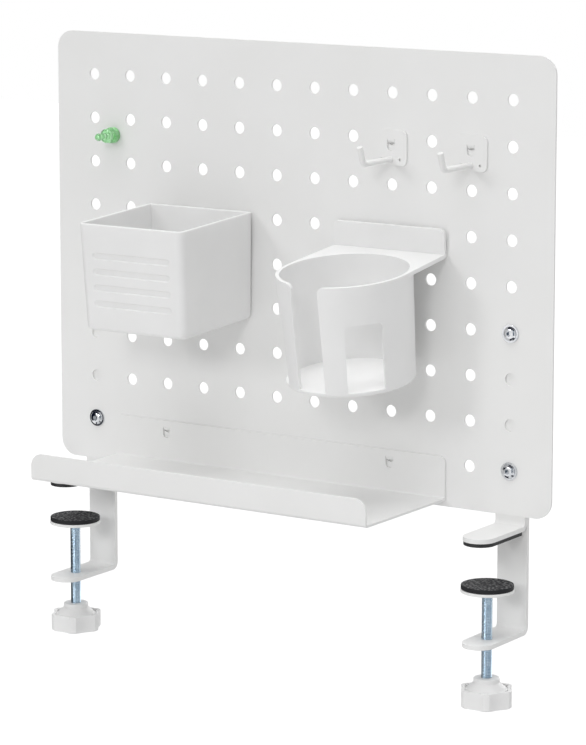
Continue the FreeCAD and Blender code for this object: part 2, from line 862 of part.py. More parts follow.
def add_tab(body, name, place, row, back):
    """A tongue lanced from the sheet, bent back through a peg hole and down behind the panel.

    place is the tab's x in the body, row its peg row's z, back the y of the sheet's rear face.
    """
    slot = new_sketch(body, name + "_slot", "XZ_Plane", f"0 - ( {back} ) + sheet_thickness")
    half = "tab_slot_width / 2"
    add_box(slot, f"{place} - {half}", f"{place} + {half}", f"{row} - tab_slot_length", row)
    cut(body, slot, "2 * sheet_thickness + cut_overshoot")
    slot_foot = number(body, f"{row} - tab_slot_length")
    sides = [number(body, f"{place} {sign} {half}") for sign in "-+"]
    round_edges(
        body,
        name + "_slot_end",
        "( tab_slot_width - tab_slot_end_flat ) / 2",
        lambda e: runs_along(e, ALONG_Y)
        and near(middle(e).z, slot_foot)
        and any(near(middle(e).x, side) for side in sides),
    )
    tongue = new_sketch(body, name + "_tongue", "YZ_Plane", place)
    root_top = row
    under = f"{row} - tab_bend_inside - sheet_thickness"
    lip_front = f"{back} + hang_clearance + board_thickness + tab_behind_gap"
    lip_back = f"{lip_front} + sheet_thickness"
    lip_foot = f"{under} - tab_lip"
    add_polygon(
        tongue,
        [
            (f"{back} - sheet_thickness", root_top),
            (f"{back} - sheet_thickness", f"{row} - {ROOT_START} * tab_bend_inside"),
            (
                f"{back} - {ROOT_TURN_OUT} * sheet_thickness",
                f"{under} + {ROOT_TURN_UP} * sheet_thickness",
            ),
            (f"{back} + tab_bend_inside", under),
            (lip_front, under),
            (lip_front, lip_foot),
            (lip_back, lip_foot),
            (lip_back, f"{under} + ( 1 - {LIP_CHAMFER} ) * sheet_thickness"),
            (f"{lip_back} - {LIP_CHAMFER} * sheet_thickness", f"{under} + sheet_thickness"),
            (f"{back} + tab_bend_inside", f"{under} + sheet_thickness"),
            (
                f"{back} + {NECK_OUT} * tab_bend_inside",
                f"{row} - {NECK_DOWN} * tab_bend_inside",
            ),
            (back, root_top),
        ],
    )
    pad(body, tongue, "tab_width", both_ways=True)


# ---------------------------------------------------------------- hanging pegs of moulded accessories

def add_pegs(body, name, back_gap):
    """Two moulded pegs that drop behind the panel; the body's origin is on the panel's front
    face at the peg row."""
    half_chord = "( peg_hole_diameter ^ 2 - peg_width ^ 2 ) ^ 0.5 / 2"
    foot = f"0 - ( {half_chord} - peg_hole_clearance )"
    top = f"{foot} + peg_height"
    lip_front = "board_thickness + peg_behind_gap"
    lip_back = f"{lip_front} + peg_lip_thickness"
    lip_foot = f"{foot} - peg_lip_drop"
    root = f"0 - {back_gap} - peg_root_depth"
    for side, sign in (("left", "0 -"), ("right", "")):
        place = f"{sign} peg_side_columns * peg_pitch"
        peg = new_sketch(body, f"{name}_{side}_peg", "YZ_Plane", place)
        add_polygon(
            peg,
            [
                (root, foot),
                (lip_front, foot),
                (lip_front, lip_foot),
                (lip_back, lip_foot),
                (lip_back, top),
                (root, top),
            ],
        )
        pad(body, peg, "peg_width", both_ways=True)


# ---------------------------------------------------------------- pen box

def make_pen_box():
    """Open moulded box with drafted sides, hung on two pegs and leaning a little forward."""
    body = new_body(
        "pen_box", x=column_place("pen_column"), y=BOARD_FRONT, z=row_height("hang_row")
    )
    body.Placement = FreeCAD.Placement(
        body.Placement.Base, FreeCAD.Rotation(FreeCAD.Vector(1, 0, 0), 1.0)
    )
    body.setExpression("Placement.Rotation.Angle", named("pen_lean"))
    rim = "pen_above_row"
    floor = "pen_above_row - pen_height"
    block = new_sketch(body, "pen_mouth", "XY_Plane", rim)
    half = "pen_width / 2"
    add_box(
        block, f"0 - {half}", half, "0 - pen_behind_gap - pen_depth", "0 - pen_behind_gap"
    )
    solid = pad(body, block, "pen_height", reverse=True)
    faces = solid.Shape.Faces
    upright = [k + 1 for k, face in enumerate(faces) if abs(face.normalAt(0, 0).z) < 0.5]
    mouth = next(k + 1 for k, face in enumerate(faces) if face.normalAt(0, 0).z > 0.5)
    draft = body.newObject("PartDesign::Draft", "pen_draft")
    draft.Base = (solid, [f"Face{k}" for k in upright])
    draft.NeutralPlane = (solid, [f"Face{mouth}"])
    draft.setExpression("Angle", named("pen_draft_degrees"))
    draft.Reversed = True
    DOC.recompute()
    low, rear = number(body, floor), number(body, "0 - pen_behind_gap - pen_depth / 2")
    for name, radius, behind in (
        ("pen_front_corners", "pen_corner_radius", False),
        ("pen_rear_corners", "pen_rear_radius", True),
    ):
        round_edges(
            body,
            name,
            radius,
            lambda e, behind=behind: e.BoundBox.ZLength > UPRIGHT_EDGE and (middle(e).y > rear) == behind,
        )
    round_edges(
        body, "pen_foot_edges", "pen_foot_radius", lambda e: near(e.BoundBox.ZMax, low)
    )
    hollow = new_sketch(body, "pen_hollow", "XY_Plane", rim)
    half = "( pen_width / 2 - pen_wall )"
    rear_inside = "0 - pen_behind_gap - pen_wall"
    front_inside = "0 - pen_behind_gap - pen_depth + pen_wall"
    add_box(hollow, f"0 - {half}", half, front_inside, rear_inside)
    room = cut(body, hollow, "pen_height - pen_wall")
    room.setExpression("TaperAngle", named("0 - pen_draft_degrees"))
    DOC.recompute()
    inner_floor = number(body, f"{floor} + pen_wall")
    round_edges(
        body,
        "pen_inside_corners",
        "pen_corner_radius - pen_wall",
        lambda e: near(e.BoundBox.ZMin, inner_floor) and e.BoundBox.ZLength > UPRIGHT_EDGE
        and middle(e).y < rear,
    )
    groove = new_sketch(
        body,
        "pen_groove",
        "XZ_Plane",
        "pen_behind_gap + pen_depth",
        rise=rim,
        turn="pen_draft_degrees",
        axis=(1, 0, 0),
    )
    half = "groove_length / 2"
    add_slot(groove, f"0 - {half}", half, "0 - groove_lowest", "groove_height - groove_lowest")
    first = cut(body, groove, "groove_depth")
    repeat_along(
        body, first, groove, "V_Axis", "( groove_count - 1 ) * groove_pitch", "groove_count"
    )
    add_pegs(body, "pen", "pen_behind_gap")
    return body


# ---------------------------------------------------------------- cup holder

def make_cup_holder():
    """Moulded cup on a flange and hanging plate, with a handle slot in front, two windows low
    in its sides and a closed floor. It leans forward on its pegs, and its openings are turned a
    little to one side."""
    body = new_body(
        "cup_holder", x=column_place("cup_column"), y=BOARD_FRONT, z=row_height("hang_row")
    )
    body.Placement = FreeCAD.Placement(
        body.Placement.Base, FreeCAD.Rotation(FreeCAD.Vector(1, 0, 0), 1.0)
    )
    body.setExpression("Placement.Rotation.Angle", named("cup_lean"))
    rim = "0 - cup_rim_below_row"
    foot = "0 - cup_rim_below_row - cup_height"
    axis_out = "( cup_behind_gap + cup_axis_out )"
    plate_back = "cup_behind_gap"

    # flange from the plate to the widest part of the cup
    flange = new_sketch(body, "cup_flange", "XY_Plane", rim)
    wide, ring = "( cup_plate_width / 2 )", "( cup_outside / 2 )"
    add_polygon(
        flange,
        [
            (wide, f"0 - {plate_back}"),
            (ring, f"0 - {axis_out}"),
            (f"0 - {ring}", f"0 - {axis_out}"),
            (f"0 - {wide}", f"0 - {plate_back}"),
        ],
    )
    pad(body, flange, "cup_flange_thickness", reverse=True)
    plate = new_sketch(body, "cup_plate", "XZ_Plane", plate_back)
    foot_of_plate = f"{rim} - cup_flange_thickness"
    add_box(plate, f"0 - {wide}", wide, foot_of_plate, "cup_plate_above_row")
    pad(body, plate, "cup_plate_thickness")
    plate_top = number(body, "cup_plate_above_row")
    round_edges(
        body,
        "cup_plate_corners",
        "cup_plate_corner",
        lambda e: runs_along(e, ALONG_Y) and near(middle(e).z, plate_top),
    )
    bend_level, bend_back = number(body, foot_of_plate), number(body, f"0 - {plate_back}")
    round_edges(
        body,
        "cup_bend",
        "cup_bend_outside",
        lambda e: runs_along(e, ALONG_X)
        and near(middle(e).z, bend_level)
        and near(middle(e).y, bend_back),
    )

    # the cup itself, turned about its own axis
    shell = new_sketch(body, "cup_shell", "XZ_Plane", axis_out)
    add_polygon(
        shell, [("0", foot), ("cup_foot_outside / 2", foot), ("cup_outside / 2", rim), ("0", rim)]
    )
    revolve(body, shell)
    low = number(body, foot)
    round_edges(body, "cup_foot_edge", "cup_foot_radius", lambda e: near(e.BoundBox.ZMax, low))
    inside = new_sketch(body, "cup_inside", "XZ_Plane", axis_out)
    add_polygon(
        inside,
        [
            ("0", f"{foot} + cup_floor"),
            ("cup_foot_outside / 2 - cup_wall", f"{foot} + cup_floor"),
            ("cup_outside / 2 - cup_wall", rim),
            ("cup_outside / 2 - cup_wall", f"{rim} + cut_overshoot"),
            ("0", f"{rim} + cut_overshoot"),
        ],
    )
    revolve(body, inside, groove=True)

    # handle slot, then the window on one side and its mirror image
    slot = new_sketch(body, "cup_slot", "XZ_Plane", axis_out, turn="0 - cup_openings_turn")
    half, corner = "( cup_slot_width / 2 )", "cup_opening_radius"
    sill = f"{foot} + cup_floor"
    brim = f"( {half} + {corner} + cut_overshoot )"
    add_polygon(
        slot,
        [
            (f"0 - {half}", sill),
            (half, sill),
            (half, rim, corner),
            (brim, rim),
            (brim, f"{rim} + cut_overshoot"),
            (f"0 - {brim}", f"{rim} + cut_overshoot"),
            (f"0 - {brim}", rim),
            (f"0 - {half}", rim, corner),
        ],
    )
    cut(body, slot, "cup_outside", reverse=True)
    half = "( cup_window_width / 2 )"
    head = f"{rim} - cup_window_top"
    for side, sign in (("left", "0 -"), ("right", "")):
        window = new_sketch(
            body,
            f"cup_{side}_window",
            "XZ_Plane",
            axis_out,
            turn=f"{sign} cup_window_angle - cup_openings_turn",
        )
        add_polygon(
            window,
            [
                (f"0 - {half}", sill),
                (half, sill),
                (half, head, corner),
                (f"0 - {half}", head, corner),
            ],
        )
        cut(body, window, "cup_outside", reverse=True)
    add_pegs(body, "cup", "cup_behind_gap")
    return body


# ---------------------------------------------------------------- tray

def make_tray():
    """One bent sheet: hanging back plate, floor and front lip, open at both ends."""
    middle_column = "( ( tray_left_column + tray_right_column ) / 2 )"
    body = new_body(
        "accessory_tray",
        x=column_place(middle_column),
        y=f"{BOARD_FRONT} - hang_clearance",
        z=LOWEST_ROW,
    )
    sheet = "sheet_thickness"
    top = "tray_above_row"
    floor = "tray_above_row - tray_back_height"
    lip_top = f"{floor} + tray_lip_height"
    front = "0 - tray_depth"
    profile = new_sketch(body, "tray_profile", "YZ_Plane")
    add_polygon(
        profile,
        [
            ("0", floor),
            ("0", top),
            (f"0 - {sheet}", top),
            (f"0 - {sheet}", f"{floor} + {sheet}"),
            (f"{front} + {sheet}", f"{floor} + {sheet}"),
            (f"{front} + {sheet}", lip_top),
            (front, lip_top),
            (front, floor),
        ],
    )
    pad(body, profile, "tray_width", both_ways=True)
    low, front_face = number(body, floor), number(body, front)
    thick = number(body, sheet)

    def bend(name, radius, faces, height):
        round_edges(
            body,
            name,
            radius,
            lambda e: runs_along(e, ALONG_X)
            and near(middle(e).z, height)
            and any(near(middle(e).y, face) for face in faces),
        )

    bend("tray_bends_inside", "tray_bend_inside", (-thick, front_face + thick), low + thick)
    bend("tray_bends_outside", "tray_bend_inside + sheet_thickness", (0, front_face), low)
    for name, radius, height in (
        ("tray_back_corners", "tray_back_corner", top),
        ("tray_lip_corners", "tray_lip_corner", lip_top),
    ):
        level = number(body, height)
        round_edges(
            body,
            name,
            radius,
            lambda e, level=level: runs_along(e, ALONG_Y) and near(middle(e).z, level),
        )
    reach = "( ( tray_right_column - tray_left_column ) / 2 * peg_pitch )"
    add_tab(body, "tray_left_tab", f"0 - {reach}", "0", "0")
    add_tab(body, "tray_right_tab", reach, "0", "0")
    return body


# ---------------------------------------------------------------- hooks

def make_hook_plate(side):
    """Small hanging plate with one lanced tab and two locating holes beside the wire's weld."""
    body = new_body(
        f"{side}_hook_plate",
        x=column_place(f"{side}_hook_column"),
        y=f"{BOARD_FRONT} - hang_clearance",
        z=row_height("hook_row"),
    )
    outline = new_sketch(body, f"{side}_hook_outline", "XZ_Plane")
    half = "hook_plate_width / 2"
    top = "hook_plate_above_row"
    add_box(outline, f"0 - {half}", half, f"{top} - hook_plate_height", top)
    pad(body, outline, "sheet_thickness")
    round_edges(
        body, f"{side}_hook_corners", "hook_plate_corner", lambda e: runs_along(e, ALONG_Y)
    )
    holes = new_sketch(body, f"{side}_locating_holes", "XZ_Plane")
    for sign in ("0 - ", ""):
        place = f"{sign}hook_locating_spacing / 2"
        add_circle(holes, place, "0 - hook_wire_below_row", "hook_locating_hole")
    cut(body, holes)
    add_tab(body, f"{side}_hook_tab", "0", "0", "0")
    return body


def make_hook_wire(side):
    """Round wire welded to the plate, running out and turned up at its end."""
    body = new_body(
        f"{side}_hook_wire",
        x=column_place(f"{side}_hook_column"),
        y=f"{BOARD_FRONT} - hang_clearance - sheet_thickness",
        z=f"{row_height('hook_row')} - hook_wire_below_row",
    )
    path = new_sketch(body, f"{side}_wire_path", "YZ_Plane")
    out, rise = number(body, "hook_wire_out"), number(body, "hook_wire_rise")
    bend = number(body, "hook_wire_bend")
    elbow = FreeCAD.Vector(-out, 0, 0)
    tip = FreeCAD.Vector(-out - number(body, "hook_wire_lean"), rise, 0)
    upward = (tip - elbow).normalize()
    tangent = bend * math.tan(math.acos(-upward.x) / 2)
    arc_start, arc_end = elbow + FreeCAD.Vector(tangent, 0, 0), elbow + upward * tangent
    centre = arc_start + FreeCAD.Vector(0, bend, 0)
    turned = math.atan2(arc_end.y - centre.y, arc_end.x - centre.x)
    circle = Part.Circle(centre, FreeCAD.Vector(0, 0, 1), bend)
    run = path.addGeometry(Part.LineSegment(FreeCAD.Vector(), arc_start), False)
    arc = path.addGeometry(Part.ArcOfCircle(circle, turned, -math.pi / 2), False)
    rising = path.addGeometry(Part.LineSegment(arc_end, tip), False)
    corner = path.addGeometry(Part.Point(elbow), True)
    pin_point(path, run, 1, "0", "0")
    pin_point(path, corner, 1, "0 - hook_wire_out", "0")
    pin_point(path, rising, 2, "0 - hook_wire_out - hook_wire_lean", "hook_wire_rise")
    path.addConstraint(Sketcher.Constraint("Tangent", run, 2, arc, 2))
    path.addConstraint(Sketcher.Constraint("Tangent", arc, 1, rising, 1))
    path.addConstraint(Sketcher.Constraint("PointOnObject", corner, 1, run))
    path.addConstraint(Sketcher.Constraint("PointOnObject", corner, 1, rising))
    index = path.addConstraint(Sketcher.Constraint("Radius", arc, bend))
    path.setExpression(f"Constraints[{index}]", named("hook_wire_bend"))
    section = new_sketch(body, f"{side}_wire_section", "XZ_Plane")
    add_circle(section, "0", "0", "hook_wire_diameter")
    DOC.recompute()
    pipe = body.newObject("PartDesign::AdditivePipe", f"{side}_wire_pipe")
    pipe.Profile = section
    pipe.Spine = path
    DOC.recompute()
    wire = number(body, "hook_wire_diameter")
    round_edges(
        body,
        f"{side}_wire_end",
        "hook_wire_end_radius",
        lambda e: near(middle(e).z, tip.y, slack=wire / 2),
    )
    return body


# ---------------------------------------------------------------- magnetic push pin

def make_push_pin():
    """Translucent pin body, with a magnet let into the face that sits on the panel."""
    place = dict(x=column_place("pin_column"), y=BOARD_FRONT, z=row_height("pin_row"))
    body = new_body("push_pin_body", **place)
    profile = new_sketch(body, "pin_profile", "XY_Plane")
    bore = "( magnet_diameter / 2 + running_clearance )"
    base, waist = "pin_diameter / 2", "pin_waist_diameter / 2"
    barrel, nose = "pin_body_diameter / 2", "pin_nose_diameter / 2"
    flange_end = "0 - pin_base_length"
    barrel_end = "0 - pin_body_end"
    add_polygon(
        profile,
        [
            (bore, "0"),
            (base, "0"),
            (base, f"{flange_end} + pin_edge_bevel"),
            (f"{base} - pin_edge_bevel", flange_end),
            (waist, f"{flange_end} - pin_waist_step"),
            (barrel, f"{flange_end} - pin_barrel_start"),
            (barrel, f"{barrel_end} + pin_barrel_taper"),
            (f"{barrel} - pin_barrel_step", barrel_end),
            (nose, f"{barrel_end} - pin_nose_step"),
            (nose, "0 - pin_length + pin_edge_bevel"),
            (f"{nose} - pin_edge_bevel", "0 - pin_length"),
            ("0", "0 - pin_length"),
            ("0", "0 - magnet_thickness - running_clearance"),
            (bore, "0 - magnet_thickness - running_clearance"),
        ],
    )
    revolve(body, profile)
    magnet = new_body("push_pin_magnet", **place)
    disc = new_sketch(magnet, "magnet_outline", "XZ_Plane")
    add_circle(disc, "0", "0", "magnet_diameter")
    pad(magnet, disc, "magnet_thickness")
    return [body, magnet]


# ---------------------------------------------------------------- assembly and export

def make_all():
    parts = [make_pegboard()]
    sides = {"left": "0", "right": "( peg_columns - 1 )"}
    for side, column in sides.items():
        parts.append(make_upper_bracket(side, column))
        parts.append(make_lower_bracket(side, column))
        parts.append(make_upper_pad(side, column))
        parts.append(make_jaw_plate(side, column))
        parts.append(make_jaw_pad(side, column))
        parts.append(make_clamp_screw(side, column))
        parts.append(make_knob(side, column))
    parts += make_fasteners(sides.values())
    parts.append(make_pen_box())
    parts.append(make_cup_holder())
    parts.append(make_tray())
    for side in sides:
        parts.append(make_hook_plate(side))
        parts.append(make_hook_wire(side))
    parts += make_push_pin()
    return parts


def check(parts):
    DOC.recompute()
    for item in DOC.Objects:
        if {"Invalid", "Error"} & set(item.State):
            raise RuntimeError(f"{item.Name} failed: {item.State}")
    for part in parts:
        if part.Shape.isNull() or not part.Shape.isValid():
            raise RuntimeError(f"{part.Label} has no valid shape")


PARTS = make_all()
check(PARTS)
os.makedirs("parts", exist_ok=True)
for part in PARTS:
    part.Shape.exportStep(os.path.join("parts", part.Label + ".step"))
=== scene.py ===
"""Clamp-on desk pegboard organizer: powder-coated sheet, moulded white plastic, zinc-plated
screws and grained rubber, with the stage, the light and the camera."""
import json
import math

import bmesh
import bpy
import numpy as np
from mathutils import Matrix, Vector


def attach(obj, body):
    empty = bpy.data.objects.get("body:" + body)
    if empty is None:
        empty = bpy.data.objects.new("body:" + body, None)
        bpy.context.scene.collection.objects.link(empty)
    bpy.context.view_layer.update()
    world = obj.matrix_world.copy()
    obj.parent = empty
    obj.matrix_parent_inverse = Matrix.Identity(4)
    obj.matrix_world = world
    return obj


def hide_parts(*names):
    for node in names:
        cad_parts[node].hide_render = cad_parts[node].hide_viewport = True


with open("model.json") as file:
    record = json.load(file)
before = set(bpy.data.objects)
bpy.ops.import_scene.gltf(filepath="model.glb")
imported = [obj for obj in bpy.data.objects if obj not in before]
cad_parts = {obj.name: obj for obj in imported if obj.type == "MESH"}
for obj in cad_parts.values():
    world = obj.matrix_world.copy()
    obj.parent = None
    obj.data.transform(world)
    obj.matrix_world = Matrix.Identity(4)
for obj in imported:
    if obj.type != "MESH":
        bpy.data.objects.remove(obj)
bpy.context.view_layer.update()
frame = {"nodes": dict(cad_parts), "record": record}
NODES, BODIES = frame["nodes"], frame["record"]["behaviour"]["bodies"]
BODY_OF = {node: body for body, members in BODIES.items() for node in members}
SLOT_OF = {item["node"]: item["material_slot"] for item in frame["record"]["subparts"]}
MM = 0.001  # the pieces' places and sizes below are in millimetres, the scene is in metres


# ---------------------------------------------------------------- finishes

def new_finish(name, colour, roughness, metallic=0.0):
    """A finish with its shader's plain values set on the shader's own sockets."""
    finish = bpy.data.materials.new(name)
    finish.use_nodes = True
    shader = finish.node_tree.nodes["Principled BSDF"]
    shader.inputs["Base Color"].default_value = (*colour, 1)
    shader.inputs["Roughness"].default_value = roughness
    shader.inputs["Metallic"].default_value = metallic
    return finish, finish.node_tree, shader


def add_noise(tree, scale, detail=3.0, stretch=(1, 1, 1)):
    """Noise over the piece's own place in metres, stretched along the axes."""
    place = tree.nodes.new("ShaderNodeTexCoord")
    turn = tree.nodes.new("ShaderNodeMapping")
    turn.inputs["Scale"].default_value = stretch
    noise = tree.nodes.new("ShaderNodeTexNoise")
    noise.inputs["Scale"].default_value = scale
    noise.inputs["Detail"].default_value = detail
    tree.links.new(place.outputs["Object"], turn.inputs["Vector"])
    tree.links.new(turn.outputs["Vector"], noise.inputs["Vector"])
    return noise.outputs["Fac"]


def spread(tree, factor, low, high, clip=(0.3, 0.7)):
    """The factor's range clip brought to the range low to high."""
    ranger = tree.nodes.new("ShaderNodeMapRange")
    ranger.inputs["From Min"].default_value, ranger.inputs["From Max"].default_value = clip
    ranger.inputs["To Min"].default_value, ranger.inputs["To Max"].default_value = low, high
    tree.links.new(factor, ranger.inputs["Value"])
    return ranger.outputs["Result"]


def vary_colour(tree, shader, factor, dark, light, clip=(0.35, 0.65)):
    """Two shades of one colour, mixed by the factor."""
    mix = tree.nodes.new("ShaderNodeMix")
    mix.data_type = "RGBA"
    mix.inputs["A"].default_value, mix.inputs["B"].default_value = (*dark, 1), (*light, 1)
    tree.links.new(spread(tree, factor, 0, 1, clip), mix.inputs["Factor"])
    tree.links.new(mix.outputs["Result"], shader.inputs["Base Color"])


def add_relief(tree, shader, factor, strength, height):
    """Bump: the factor's dark and light stand the height apart."""
    bump = tree.nodes.new("ShaderNodeBump")
    bump.inputs["Strength"].default_value = strength
    bump.inputs["Distance"].default_value = height
    tree.links.new(factor, bump.inputs["Height"])
    tree.links.new(bump.outputs["Normal"], shader.inputs["Normal"])


def powder_coat():
    """White powder coat: a fine orange peel, with a faint cloudiness over the sheet."""
    finish, tree, shader = new_finish("white_powder_coat", (0.87, 0.87, 0.865), 0.42)
    vary_colour(tree, shader, add_noise(tree, 14), (0.865, 0.865, 0.857), (0.885, 0.885, 0.88))
    peel = add_noise(tree, 700, 2)
    add_relief(tree, shader, peel, 0.25, 0.06 * MM)
    tree.links.new(spread(tree, peel, 0.38, 0.48), shader.inputs["Roughness"])
    shader.inputs["Specular IOR Level"].default_value = 0.45
    return finish


def moulded_plastic():
    """White polypropylene: satin, with a fine spark-eroded texture from the mould."""
    finish, tree, shader = new_finish("white_plastic", (0.87, 0.87, 0.87), 0.4)
    vary_colour(tree, shader, add_noise(tree, 25), (0.868, 0.868, 0.865), (0.89, 0.89, 0.888))
    grain = add_noise(tree, 2600, 3)
    add_relief(tree, shader, grain, 0.2, 0.03 * MM)
    tree.links.new(spread(tree, grain, 0.34, 0.46), shader.inputs["Roughness"])
    shader.inputs["Subsurface Weight"].default_value = 0.25
    shader.inputs["Subsurface Radius"].default_value = (1, 1, 1)
    shader.inputs["Subsurface Scale"].default_value = 3 * MM
    return finish


def smooth_rubber():
    """Black rubber strip: matt, with a faint grey bloom and a fine tooth."""
    finish, tree, shader = new_finish("black_rubber", (0.02, 0.02, 0.02), 0.6)
    bloom = add_noise(tree, 180, 4)
    vary_colour(tree, shader, bloom, (0.012, 0.012, 0.013), (0.03, 0.03, 0.031))
    tree.links.new(spread(tree, bloom, 0.5, 0.7), shader.inputs["Roughness"])
    add_relief(tree, shader, add_noise(tree, 1500), 0.3, 0.08 * MM)
    return finish


def grained_rubber():
    """Dark rubber with pebbles in bump on the faces that point up, and a painted highlight: the
    middles of those pebbles are coloured light grey and the rest near black.
    """
    finish, tree, shader = new_finish("textured_rubber", (0.05, 0.05, 0.055), 0.7)
    place = tree.nodes.new("ShaderNodeTexCoord")
    pebble = tree.nodes.new("ShaderNodeTexVoronoi")
    pebble.inputs["Scale"].default_value = 520
    tree.links.new(place.outputs["Object"], pebble.inputs["Vector"])
    facing = tree.nodes.new("ShaderNodeSeparateXYZ")
    tree.links.new(place.outputs["Normal"], facing.inputs["Vector"])
    # painted highlight and bump mask: pebble middles times how far the face points up (+Z)
    pebble_highlight_and_bump = tree.nodes.new("ShaderNodeMath")
    pebble_highlight_and_bump.operation = "MULTIPLY"
    tree.links.new(spread(tree, pebble.outputs["Distance"], 1, 0, (0.1, 0.6)), pebble_highlight_and_bump.inputs[0])
    tree.links.new(spread(tree, facing.outputs["Z"], 0, 1, (0.7, 0.95)), pebble_highlight_and_bump.inputs[1])
    top = pebble_highlight_and_bump.outputs["Value"]
    # painted highlight: light grey on the pebbles of up-facing faces, near black elsewhere; the
    # same mask also drives the bump below
    vary_colour(tree, shader, top, (0.008, 0.008, 0.01), (0.27, 0.27, 0.275), (0.1, 1))
    add_relief(tree, shader, top, 0.8, 0.3 * MM)
    return finish


def zinc_plate(name, dark, light):
    """Bright zinc, in two shades, with drawn marks and small dull spots."""
    finish, tree, shader = new_finish(name, light, 0.2, 1.0)
    vary_colour(tree, shader, add_noise(tree, 260, 4), dark, light)
    drawn = add_noise(tree, 500, 3, (1, 1, 6))
    tree.links.new(spread(tree, drawn, 0.1, 0.2), shader.inputs["Roughness"])
    add_relief(tree, shader, drawn, 0.15, 0.02 * MM)
    return finish


def green_plastic():
    """Clear green polycarbonate, a little cloudy, with faint flow lines."""
    finish, tree, shader = new_finish("green_plastic", (0.43, 0.88, 0.45), 0.06)
    flow = add_noise(tree, 220, 2, (1, 4, 1))
    vary_colour(tree, shader, flow, (0.44, 0.9, 0.45), (0.66, 0.97, 0.68))
    tree.links.new(spread(tree, flow, 0.02, 0.06), shader.inputs["Roughness"])
    add_relief(tree, shader, add_noise(tree, 420, 2), 0.35, 0.25 * MM)
    shader.inputs["IOR"].default_value = 1.59
    shader.inputs["Transmission Weight"].default_value = 0.72
    return finish


def nickel():
    """Nickel-plated magnet, a little worn."""
    finish, tree, shader = new_finish("magnet_metal", (0.7, 0.69, 0.66), 0.18, 1.0)
    wear = add_noise(tree, 900, 4)
    vary_colour(tree, shader, wear, (0.62, 0.61, 0.58), (0.75, 0.74, 0.71))
    tree.links.new(spread(tree, wear, 0.12, 0.3), shader.inputs["Roughness"])
    return finish


FINISHES = {
    "white_powder_coat": powder_coat(),
    "white_plastic": moulded_plastic(),
    "black_rubber": smooth_rubber(),
    "textured_rubber": grained_rubber(),
    "zinc_plated_steel": zinc_plate("blue_zinc", (0.5, 0.64, 0.76), (0.64, 0.77, 0.88)),
    "green_plastic": green_plastic(),
    "magnet_metal": nickel(),
}


# ---------------------------------------------------------------- making pieces

def add_piece(name, points, faces, nodes, smooth=True):
    """A mesh object at the origin that stands for the CAD nodes and rides on their body."""
    mesh = bpy.data.meshes.new(name)
    mesh.from_pydata(points, [], faces)
    mesh.polygons.foreach_set("use_smooth", [smooth] * len(mesh.polygons))
    piece = bpy.data.objects.new(name, mesh)
    bpy.context.scene.collection.objects.link(piece)
    mesh.materials.append(FINISHES[SLOT_OF[nodes[0]]])
    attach(piece, BODY_OF[nodes[0]])
    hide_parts(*nodes)
    return piece


def soften(piece, width, segments=2, angle=30):
    """Rounds the piece's sharp edges, those over the angle in degrees, by a narrow bevel that keeps
    its faces flat; width in millimetres."""
    bevel = piece.modifiers.new("edge_rounding", "BEVEL")
    bevel.width, bevel.segments = width * MM, segments
    bevel.limit_method, bevel.angle_limit = "ANGLE", math.radians(angle)
    bevel.harden_normals = True
    bevel.use_clamp_overlap = True
    return piece


def merged(node):
    """Points and faces of a copy of a CAD solid, with its loose triangles joined and its flat
    areas made whole."""
    mesh = bmesh.new()
    mesh.from_mesh(NODES[node].data)
    bmesh.ops.remove_doubles(mesh, verts=mesh.verts, dist=1e-6)
    bmesh.ops.dissolve_limit(
        mesh, angle_limit=math.radians(0.2), verts=mesh.verts, edges=mesh.edges
    )
    mesh.verts.index_update()
    points = [tuple(v.co) for v in mesh.verts]
    faces = [[v.index for v in face.verts] for face in mesh.faces]
    mesh.free()
    return points, faces


def finish_solid(node, width):
    """The CAD solid's own shape, with rounded edges; width in millimetres."""
    return soften(add_piece(node + "_finished", *merged(node), [node]), width)


def closed_tube(loops):
    """Points and faces of a tube through the loops, each a closed row of as many points, with a fan
    of triangles to a middle point at either end."""
    rows, around = loops.shape[:2]
    here = np.arange(rows * around).reshape(rows, around)
    after = np.roll(here, -1, axis=1)
    quads = np.stack([here[:-1], after[:-1], after[1:], here[1:]], axis=-1).reshape(-1, 4)
    first, last = np.full(around, rows * around), np.full(around, rows * around + 1)
    start = np.stack([after[0], here[0], first], axis=1)
    end = np.stack([here[-1], after[-1], last], axis=1)
    middles = [loops[0].mean(0), loops[-1].mean(0)]
    faces = quads.tolist() + start.tolist() + end.tolist()
    return np.vstack([loops.reshape(-1, 3), middles]), faces


def turned(place, axis, outline, ripple=None, around=64):
    """Points and faces of a turned shape.

    outline is rows of (along, radius) from one pole to the other. At the angle t a row's point is
    place + along * axis + radius * (cos t * u + sin t * v), with u, v and axis at right angles.
    ripple(along, radius, t) may change the radius.
    """
    outline = np.asarray(outline, float)
    along, radius = outline[:, :1], outline[:, 1:2]
    t = np.linspace(0, 2 * np.pi, around, endpoint=False)[None, :]
    radius = radius + 0 * t if ripple is None else ripple(along, radius, t)
    w = np.array(axis, float)
    u = np.array([1.0, 0.0, 0.0])
    v = np.cross(w, u)
    sideways = np.cos(t)[..., None] * u + np.sin(t)[..., None] * v
    return closed_tube(np.array(place) + along[..., None] * w + radius[..., None] * sideways)


def rounded_corner(along, radius, size, start, end, steps=4):
    """Rows of an arc: centre (along, radius), from the angle start to end in degrees, where 0
    points away from the axis and 90 along it."""
    t = np.radians(np.linspace(start, end, steps + 1))
    return [(along + size * math.sin(a), radius + size * math.cos(a)) for a in t]


# ---------------------------------------------------------------- clamp screws

SCREW_Y = -31.5
ROD_LENGTH, ROD_RADIUS = 70.5, 3.5
THREAD_PITCH, THREAD_DEPTH = 1.0, 0.4
THREAD_TOP = -1.6


